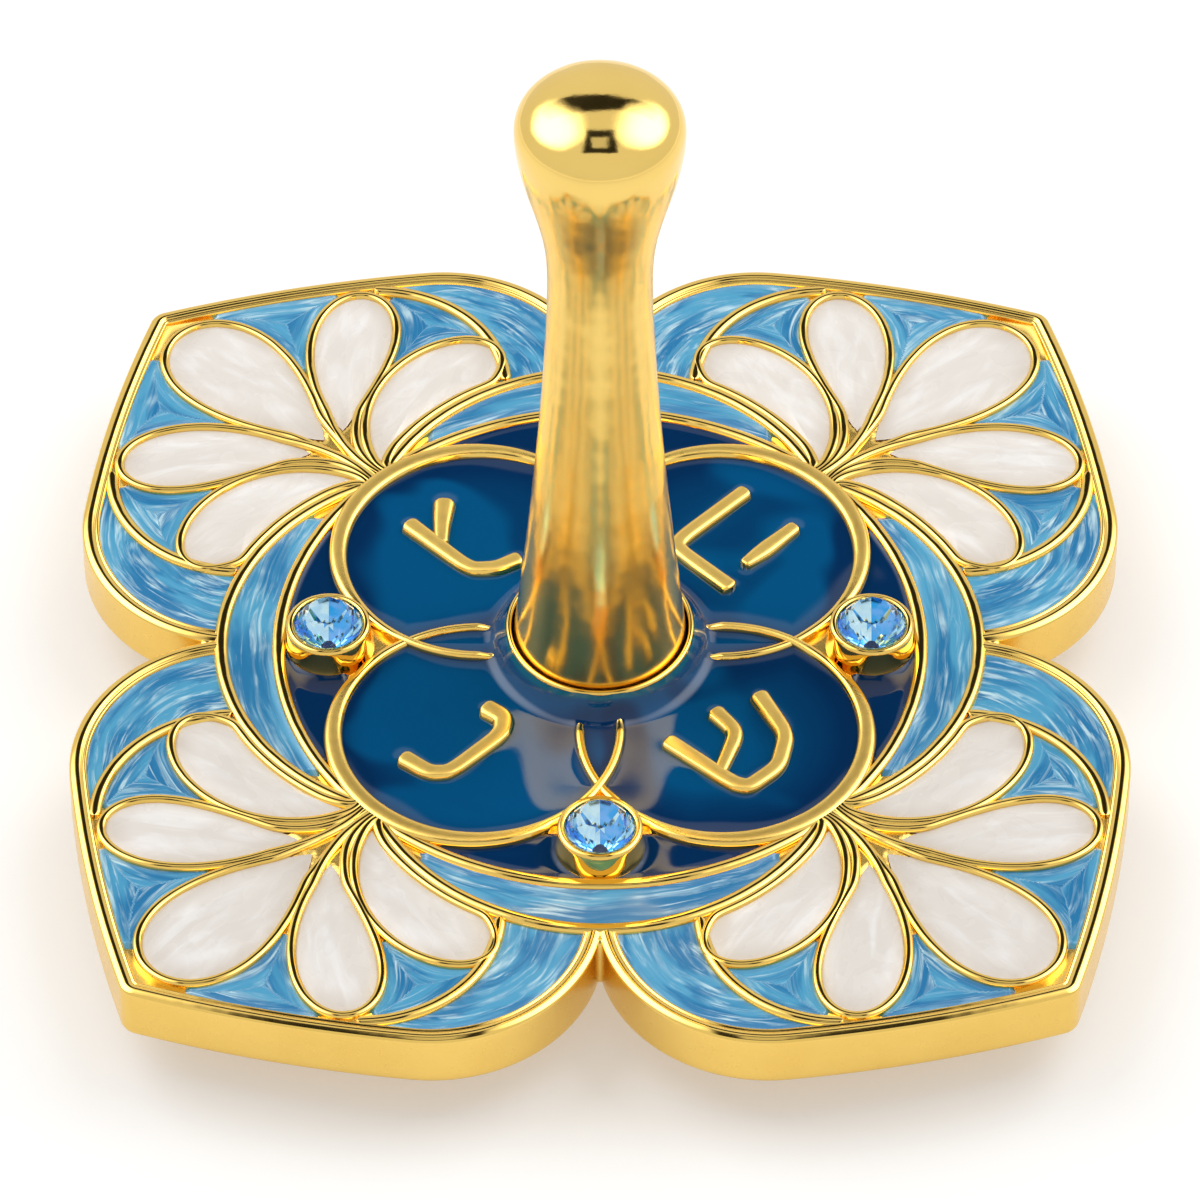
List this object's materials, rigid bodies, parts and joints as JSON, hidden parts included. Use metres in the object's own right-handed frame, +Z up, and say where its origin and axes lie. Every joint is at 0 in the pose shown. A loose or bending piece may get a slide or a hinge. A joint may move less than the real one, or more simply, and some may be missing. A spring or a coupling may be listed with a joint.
{
  "type": "dreidel",
  "caption": "Four-lobed enamelled dreidel: a flat plate with petals, medallions and raised letters, a turned stem with a knob to spin it by, and a pointed tip below.",
  "frame": {"origin": "lowest point of the spinning tip, on the axis of the stem", "axes": "+Z up the stem from the tip to the knob; +X and +Y through the notches between the lobes, with -Y the side that the picture faces"},
  "size_m": [0.06, 0.06, 0.0497],
  "materials": {
    "gold": "polished gold plating",
    "crystal": "faceted",
    "dark_blue_enamel": "glossy enamel",
    "light_blue_enamel": "pearly enamel with brush streaks",
    "pearl_enamel": "pearly enamel"
  },
  "bodies": {
    "root": {"plate": "gold", "stem": "gold", "spinning_tip": "gold", "crystal_cup_right": "gold", "crystal_cup_back": "gold", "crystal_cup_left": "gold", "crystal_cup_front": "gold", "letter_hey": "gold", "letter_gimel": "gold", "letter_nun": "gold", "letter_shin": "gold", "crystal_right": "crystal", "crystal_back": "crystal", "crystal_left": "crystal", "crystal_front": "crystal", "collar_enamel": "dark_blue_enamel", "medallion_enamel_back_right": "dark_blue_enamel", "medallion_enamel_back_left": "dark_blue_enamel", "medallion_enamel_front_left": "dark_blue_enamel", "medallion_enamel_front_right": "dark_blue_enamel", "lens_enamel_right": "dark_blue_enamel", "lens_enamel_back": "dark_blue_enamel", "lens_enamel_left": "dark_blue_enamel", "lens_enamel_front": "dark_blue_enamel", "niche_enamel_right": "dark_blue_enamel", "niche_enamel_back": "dark_blue_enamel", "niche_enamel_left": "dark_blue_enamel", "niche_enamel_front": "dark_blue_enamel", "ring_enamel_right": "light_blue_enamel", "ring_enamel_back": "light_blue_enamel", "ring_enamel_left": "light_blue_enamel", "ring_enamel_front": "light_blue_enamel", "shoulder_enamel_back_right": "light_blue_enamel", "shoulder_enamel_back_left": "light_blue_enamel", "shoulder_enamel_front_left": "light_blue_enamel", "shoulder_enamel_front_right": "light_blue_enamel", "spandrel_enamel_back_right": "light_blue_enamel", "spandrel_enamel_back_left": "light_blue_enamel", "spandrel_enamel_front_left": "light_blue_enamel", "spandrel_enamel_front_right": "light_blue_enamel", "petal_enamel_back_right": "pearl_enamel", "petal_enamel_back_left": "pearl_enamel", "petal_enamel_front_left": "pearl_enamel", "petal_enamel_front_right": "pearl_enamel"}
  },
  "joints": []
}
